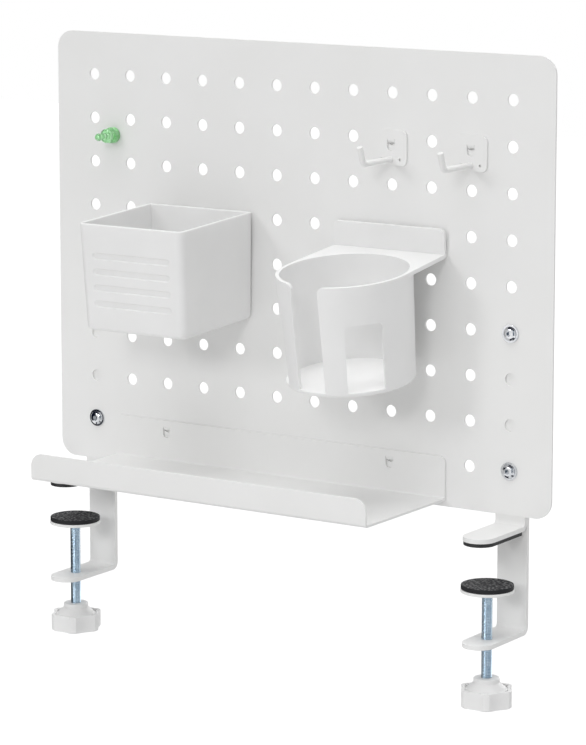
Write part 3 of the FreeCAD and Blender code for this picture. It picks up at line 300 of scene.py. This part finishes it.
def thread(along, radius, t):
    """Radius of the threaded rod: it falls from the flat crest by the depth times the lower half of
    a cosine of along / pitch + t / turn, a right-hand helix that runs out at both ends."""
    run_in, run_out = 2, 1.5
    groove = np.clip(-np.cos(2 * np.pi * along / THREAD_PITCH + t), 0, 1)
    from_start = np.clip((along + ROD_LENGTH) / run_in, 0, 1)
    from_top = np.clip((THREAD_TOP - along) / run_out, 0, 1)
    cut = THREAD_DEPTH * groove * from_start * from_top
    return radius - np.where(radius == ROD_RADIUS, cut, 0)


def clamp_screw(side, x, plate_under):
    """Threaded rod up to the jaw plate's underside, with a spigot through the plate that ends in a
    riveted head."""
    shoulder, plate_top, spigot_radius = -0.05, 2.05, 2.3
    outline = [(-ROD_LENGTH, 0.4), (-ROD_LENGTH, 2.9)]
    rod = np.arange(-ROD_LENGTH + 0.8, THREAD_TOP, THREAD_PITCH / 8)
    outline += [(z, ROD_RADIUS) for z in rod]
    outline += [(-0.9, 3.1), (shoulder, 3.0), (shoulder, spigot_radius)]
    outline += [(plate_top, spigot_radius), (plate_top, 4.3)]
    outline += [(2.25, 4.5), (2.8, 4.3), (3.2, 3.3), (3.25, 0.5)]
    points, faces = turned((x, SCREW_Y, plate_under), (0, 0, 1), outline, thread, around=40)
    add_piece(f"{side}_threaded_rod", points * MM, faces, [f"{side}_clamp_screw"])


for side, screw_x, plate_under in (("left", -165, -29), ("right", 165, -33)):
    clamp_screw(side, screw_x, plate_under)


# ---------------------------------------------------------------- push pin

PANEL_FACE_Y = -4.5
PIN_X, PIN_Z = -148.8, 239.9


def push_pin():
    """Pin turned about the direction that it is pulled in: the magnet's bore, a rounded base, a
    waist, a short barrel, a thin neck and a ball at the end."""
    bore_depth, bore_radius = 2.55, 4.55
    bore = [(bore_depth, 0.3), (bore_depth, bore_radius), (0.0, bore_radius), (0.0, 5.3)]
    base = rounded_corner(1.0, 4.7, 0.9, -50, 0) + rounded_corner(3.4, 3.5, 2.0, 0, 75, 6)
    waist = [(5.7, 3.7), (6.1, 3.6), (6.6, 3.9), (7.2, 4.5)]
    barrel = rounded_corner(8.6, 3.7, 1.3, 30, 90, 6)
    neck = [(10.1, 2.9), (10.6, 2.2), (11.6, 1.75), (13.2, 1.6), (14.6, 1.65), (15.6, 1.9)]
    ball = rounded_corner(17.6, 0.2, 2.4, -45, 90, 12)
    outline = bore + base + waist + barrel + neck + ball
    points, faces = turned((PIN_X, PANEL_FACE_Y, PIN_Z), (0, -1, 0), outline)
    add_piece("push_pin_turned", points * MM, faces, ["push_pin_body"])


push_pin()


# ---------------------------------------------------------------- pen box

BOX_COLUMN_X, BOX_ROW_Z, BOX_LEAN = -75, 191, 3  # the row that its pegs hang in; degrees forward
BOX_HALF_WIDTH, BOX_FRONT, BOX_REAR = 42, -84.9, -2.1  # at the rim, from the panel's face
BOX_RIM, BOX_FLOOR, BOX_WALL = 4.5, -68.0, 2.0  # heights from the peg row
BOX_DRAFT = math.tan(math.radians(1.4))
FRONT_CORNER, REAR_CORNER = 5, 2.3
RIM_ROUNDING, FLOOR_ROUNDING = 0.7, 3
SLOTS, SLOT_STEP, LOWEST_SLOT = 4, 10.8, BOX_RIM - 55.9
SLOT_HALF_LENGTH, SLOT_RADIUS, SLOT_DEPTH = 31, 2.2, 0.8


def rounded_loop(half_width, front, rear, front_radius, rear_radius, across):
    """Points round a rectangle with rounded corners, starting at the front's left end.

    across holds the front's places as shares from -1 to 1 of its straight half.
    """
    r, q = front_radius, rear_radius
    corner_steps, side_points = 10, 9
    quarter = np.linspace(0, np.pi / 2, corner_steps + 1)[1:-1]
    straight = np.linspace(0, 1, side_points)
    x = [across * (half_width - r)]
    y = [np.full(len(across), front)]
    x.append(half_width - r + r * np.sin(quarter))
    y.append(front + r - r * np.cos(quarter))
    x.append(np.full_like(straight, half_width))
    y.append(front + r + straight * (rear - q - front - r))
    x.append(half_width - q + q * np.cos(quarter))
    y.append(rear - q + q * np.sin(quarter))
    x.append((1 - 2 * straight) * (half_width - q))
    y.append(np.full_like(straight, rear))
    x.append(-half_width + q - q * np.sin(quarter))
    y.append(rear - q + q * np.cos(quarter))
    x.append(np.full_like(straight, -half_width))
    y.append(rear - q + straight * (front + r - rear + q))
    x.append(-half_width + r - r * np.cos(quarter))
    y.append(front + r - r * np.sin(quarter))
    return np.concatenate(x), np.concatenate(y)


def smooth_step(value):
    """0 to 1 over the value's range 0 to 1, level at both ends: 3 v^2 - 2 v^3."""
    value = np.clip(value, 0, 1)
    return value * value * (3 - 2 * value)


def hang_box(points):
    """Leans the box's points about the peg row's line on the panel's face, and moves them there."""
    a = math.radians(BOX_LEAN)
    x, y, z = np.asarray(points, float).T
    leaned_y = y * math.cos(a) - z * math.sin(a)
    leaned_z = y * math.sin(a) + z * math.cos(a)
    return np.stack([x + BOX_COLUMN_X, leaned_y + PANEL_FACE_Y, leaned_z + BOX_ROW_Z], axis=1) * MM


def box_profile(slot_lows):
    """Rows (height, inset, inside) from under the floor, up the outside, over the rim and down to
    the floor inside, closer together at the slots."""
    near_slots = (slot_lows[:, None] + np.arange(-0.4, 4.9, 0.2)).ravel()
    over_floor, under_rim = BOX_FLOOR + FLOOR_ROUNDING, BOX_RIM - RIM_ROUNDING
    inner_floor = BOX_FLOOR + BOX_WALL
    heights = np.unique(np.r_[np.linspace(over_floor, under_rim, 16), near_slots].round(3))
    rows = []
    for t in np.radians(np.linspace(90, 15, 6)):
        inset = FLOOR_ROUNDING - FLOOR_ROUNDING * math.cos(t)
        rows.append((over_floor - FLOOR_ROUNDING * math.sin(t), inset, False))
    rows += [(z, 0.0, False) for z in heights]
    for t in np.radians(np.linspace(10, 90, 5)):
        inset = RIM_ROUNDING - RIM_ROUNDING * math.cos(t)
        rows.append((under_rim + RIM_ROUNDING * math.sin(t), inset, False))
    for t in np.radians(np.linspace(90, 10, 5)):
        inset = BOX_WALL - RIM_ROUNDING + RIM_ROUNDING * math.cos(t)
        rows.append((under_rim + RIM_ROUNDING * math.sin(t), inset, True))
    rows += [(z, BOX_WALL, True) for z in np.linspace(under_rim, inner_floor + 1, 12)]
    rows += [(inner_floor + 0.3, BOX_WALL + 0.3, True), (inner_floor, BOX_WALL + 1.0, True)]
    return rows


def sunk_at_slots(x, z, slot_lows):
    """How far the front stands back at the places x and the height z: by the slots' depth inside
    each, a long shape with round ends, with a soft edge that starts a little outside it."""
    outside, edge_width = 0.12, 0.45
    past_straight = np.clip(np.abs(x) - (SLOT_HALF_LENGTH - SLOT_RADIUS), 0, None)
    middles = slot_lows[:, None] + SLOT_RADIUS
    to_edge = SLOT_RADIUS - np.hypot(past_straight, z - middles)
    return SLOT_DEPTH * smooth_step((to_edge + outside) / edge_width).sum(axis=0)


def pen_box():
    """Drafted box: at the height z and the inset o its loop's half-width is
    half_width - o - (rim - z) tan 1.4, and its front has four sunk slots."""
    across = np.r_[np.linspace(-1, -0.72, 22), np.linspace(-0.7, 0.7, 15), np.linspace(0.72, 1, 22)]
    slot_lows = LOWEST_SLOT + SLOT_STEP * np.arange(SLOTS)
    loops = []
    for z, inset, inside in box_profile(slot_lows):
        narrow = inset + (BOX_RIM - z) * BOX_DRAFT
        front = BOX_FRONT + narrow
        x, y = rounded_loop(
            BOX_HALF_WIDTH - narrow, front, BOX_REAR - narrow,
            max(FRONT_CORNER - inset, 1.0), max(REAR_CORNER - inset, 0.5), across,
        )
        if not inside:
            y = y + np.where(y < front + 0.01, sunk_at_slots(x, z, slot_lows), 0)
        loops.append(np.stack([x, y, np.full_like(x, z)], axis=1))
    return closed_tube(np.array(loops))


def hanging_pegs():
    """Two bars that start inside the box's rear wall and end in a lip behind the panel, each a side
    outline carried along x."""
    start, lip_front, lip_rear = -2.6, 1.8, 4.0
    top, under, lip_under = -0.25, -3.02, -5.6
    half_spacing, half_width = 30, 2.5
    outline = [
        (start, under), (lip_front, under), (lip_front, lip_under),
        (lip_rear, lip_under), (lip_rear, top), (start, top),
    ]
    n = len(outline)
    points, faces = [], []
    for middle in (-half_spacing, half_spacing):
        near = np.arange(n) + len(points)
        far = near + n
        for x in (middle - half_width, middle + half_width):
            points += [(x, y, z) for y, z in outline]
        faces += np.stack([near, np.roll(near, -1), np.roll(far, -1), far], axis=1).tolist()
        faces += [near[::-1].tolist(), far.tolist()]
    return np.array(points), faces


box_points, box_faces = pen_box()
box_piece = add_piece("pen_box_moulding", hang_box(box_points), box_faces, ["pen_box"])
soften(box_piece, 0.05, segments=1, angle=60)
peg_points, peg_faces = hanging_pegs()
peg_piece = add_piece("pen_box_pegs", hang_box(peg_points), peg_faces, ["pen_box"], smooth=False)
soften(peg_piece, 0.3)


# ---------------------------------------------------------------- pieces kept in the CAD shape

EDGE_WIDTHS = {  # width of the rounding along each piece's edges
    "pegboard": 0.25, "accessory_tray": 0.3, "cup_holder": 0.6,
    "mounting_bolts": 0.15, "bolt_washers": 0.15, "bolt_nuts": 0.3, "push_pin_magnet": 0.2,
}
for side in ("left", "right"):
    EDGE_WIDTHS.update({
        f"{side}_upper_bracket": 0.5, f"{side}_lower_bracket": 0.5, f"{side}_upper_pad": 0.3,
        f"{side}_jaw_plate": 0.5, f"{side}_jaw_pad": 0.5, f"{side}_knob": 0.35,
        f"{side}_hook_plate": 0.3, f"{side}_hook_wire": 0.2,
    })
for node, width in EDGE_WIDTHS.items():
    finish_solid(node, width)
BOLT_FINISH = zinc_plate("bright_zinc", (0.6, 0.62, 0.65), (0.76, 0.77, 0.79))
for node in ("mounting_bolts", "bolt_washers", "bolt_nuts"):
    bpy.data.objects[node + "_finished"].data.materials[0] = BOLT_FINISH


# ---------------------------------------------------------------- stage, light and camera

def seen_as(tree, plain, shown):
    """The shader shown for what the camera sees, directly, in gloss or through clear pieces, and
    the shader plain for the light that falls on the object."""
    path = tree.nodes.new("ShaderNodeLightPath")
    most = path.outputs["Is Camera Ray"]
    for kind in ("Is Glossy Ray", "Is Transmission Ray"):
        larger = tree.nodes.new("ShaderNodeMath")
        larger.operation = "MAXIMUM"
        tree.links.new(most, larger.inputs[0])
        tree.links.new(path.outputs[kind], larger.inputs[1])
        most = larger.outputs[0]
    mix = tree.nodes.new("ShaderNodeMixShader")
    tree.links.new(most, mix.inputs["Fac"])
    tree.links.new(plain, mix.inputs[1])
    tree.links.new(shown, mix.inputs[2])
    return mix.outputs["Shader"]


def make_floor():
    """A pale floor well below the clamps."""
    floor_mesh = bpy.data.meshes.new("floor")
    reach, level = 6.0, -0.5
    corners = [(-reach, -reach), (reach, -reach), (reach, reach), (-reach, reach)]
    floor_mesh.from_pydata([(x, y, level) for x, y in corners], [], [(0, 1, 2, 3)])
    floor = bpy.data.objects.new("floor", floor_mesh)
    bpy.context.scene.collection.objects.link(floor)
    paint, tree, shader = new_finish("floor_paint", (0.7, 0.7, 0.7), 0.9)
    shader.inputs["Specular IOR Level"].default_value = 0.1
    glow = tree.nodes.new("ShaderNodeEmission")
    glow.inputs["Strength"].default_value = 0.55
    shade = tree.nodes.new("ShaderNodeBsdfDiffuse")
    shade.inputs["Color"].default_value = (0.5, 0.5, 0.5, 1)
    white = tree.nodes.new("ShaderNodeAddShader")
    tree.links.new(glow.outputs["Emission"], white.inputs[0])
    tree.links.new(shade.outputs["BSDF"], white.inputs[1])
    out = next(n for n in tree.nodes if n.type == "OUTPUT_MATERIAL")
    surface = seen_as(tree, shader.outputs["BSDF"], white.outputs["Shader"])
    tree.links.new(surface, out.inputs["Surface"])
    floor_mesh.materials.append(paint)


def make_room():
    """White walls all round, plain for the light that they give."""
    world = bpy.data.worlds.new("white_room")
    bpy.context.scene.world = world
    world.use_nodes = True
    tree = world.node_tree
    walls = tree.nodes["Background"]
    walls.inputs["Color"].default_value = (1, 1, 1, 1)
    walls.inputs["Strength"].default_value = 0.385
    white = tree.nodes.new("ShaderNodeBackground")
    white.inputs["Strength"].default_value = 1.0
    white.inputs["Color"].default_value = (1, 1, 1, 1)
    out = next(n for n in tree.nodes if n.type == "OUTPUT_WORLD")
    surface = seen_as(tree, walls.outputs["Background"], white.outputs["Background"])
    tree.links.new(surface, out.inputs["Surface"])


def towards(bearing, height):
    """Unit vector at the bearing from +X towards +Y and the height above the level, in degrees."""
    b, h = math.radians(bearing), math.radians(height)
    return Vector((math.cos(b) * math.cos(h), math.sin(b) * math.cos(h), math.sin(h)))


def aim(item, place, target):
    """Puts a lamp or camera in its place and turns it to face the target."""
    item.location = place
    item.rotation_euler = (Vector(target) - Vector(place)).to_track_quat("-Z", "Y").to_euler()


def add_soft_light(name, bearing, height, spread_angle, share):
    """Even, soft light from one side. share is the light on a white sheet that faces it, where 1
    keeps it white."""
    lamp = bpy.data.lights.new(name, "SUN")
    lamp.angle, lamp.energy = math.radians(spread_angle), math.pi * share
    item = bpy.data.objects.new(name, lamp)
    bpy.context.scene.collection.objects.link(item)
    aim(item, towards(bearing, height), (0, 0, 0))


def add_painted_reflection_card(name, bearing, height, away, width, tall, shade):
    """Glowing sheet, no lamp, that faces the object and is seen in gloss alone: a painted
    reflection that gives bare metal its dark and pale bands.

    bearing and height place its middle and width and tall are its sides as the object sees them, in
    degrees; away is its distance in metres. shade is the colour that the sheet glows with, the
    painted reflection that a mirror would show.
    """
    out = towards(bearing, height)
    along = towards(bearing + 90, 0) * away * math.tan(math.radians(width / 2))
    up = out.cross(along).normalized() * away * math.tan(math.radians(tall / 2))
    middle = out * away + Vector((0, 0, 0.05))
    mesh = bpy.data.meshes.new(name)
    mesh.from_pydata(
        [middle - along - up, middle + along - up, middle + along + up, middle - along + up],
        [], [(0, 1, 2, 3)],
    )
    card = bpy.data.objects.new(name, mesh)
    bpy.context.scene.collection.objects.link(card)
    # painted reflection: the sheet's only light is its glow in the shade colour, and only glossy
    # rays see it
    finish, tree, shader = new_finish(name, (0, 0, 0), 1.0)
    shader.inputs["Specular IOR Level"].default_value = 0
    shader.inputs["Emission Color"].default_value = (*shade, 1)
    shader.inputs["Emission Strength"].default_value = 1
    mesh.materials.append(finish)
    for kind in ("camera", "diffuse", "transmission", "volume_scatter", "shadow"):
        setattr(card, "visible_" + kind, False)


def add_camera():
    """Long lens from the right, in front and above, with the picture moved down on it so that
    uprights stay upright; places in metres, lengths on the picture in pixels."""
    turn, tilt = math.radians(33.326), math.radians(9.031)
    picture_height, focal_length, moved_down = 745, 3396.9, 75
    lens = bpy.data.cameras.new("camera")
    lens.sensor_width = 36
    lens.lens = focal_length / picture_height * lens.sensor_width
    lens.shift_y = -moved_down / picture_height
    lens.clip_start, lens.clip_end = 0.05, 50
    camera = bpy.data.objects.new("camera", lens)
    bpy.context.scene.collection.objects.link(camera)
    place = Vector((1.2268, -1.8732, 0.4953))
    level = Vector((-math.sin(turn), math.cos(turn), 0))
    aim(camera, place, place + level * math.cos(tilt) + Vector((0, 0, -math.sin(tilt))))
    bpy.context.scene.camera = camera


make_floor()
make_room()
add_soft_light("light_from_right", -72, 22, 12, 0.13)
add_soft_light("light_from_left", -112, 20, 12, 0.12)
add_soft_light("light_from_above", -90, 84, 60, 0.58)
add_soft_light("light_from_behind", 90, 20, 40, 0.15)
# painted reflections in bare metal: glowing sheets seen in gloss alone, dark to the left, above and
# below, grey in front and pale to the right
add_painted_reflection_card("painted_dark_reflection_left", -175, 0, 1.3, 104, 110, (0.0, 0.002, 0.012))
add_painted_reflection_card("painted_grey_reflection_front", -60, 0, 1.6, 28, 100, (0.12, 0.16, 0.2))
add_painted_reflection_card("painted_pale_reflection_right", 10, 0, 1.2, 100, 100, (0.45, 0.47, 0.5))
add_painted_reflection_card("painted_dark_reflection_above", -90, 88, 1.1, 100, 100, (0.01, 0.013, 0.03))
add_painted_reflection_card("painted_dark_reflection_below", -90, -88, 0.5, 90, 90, (0.01, 0.013, 0.03))
add_camera()
bpy.context.scene.view_settings.view_transform = "Standard"
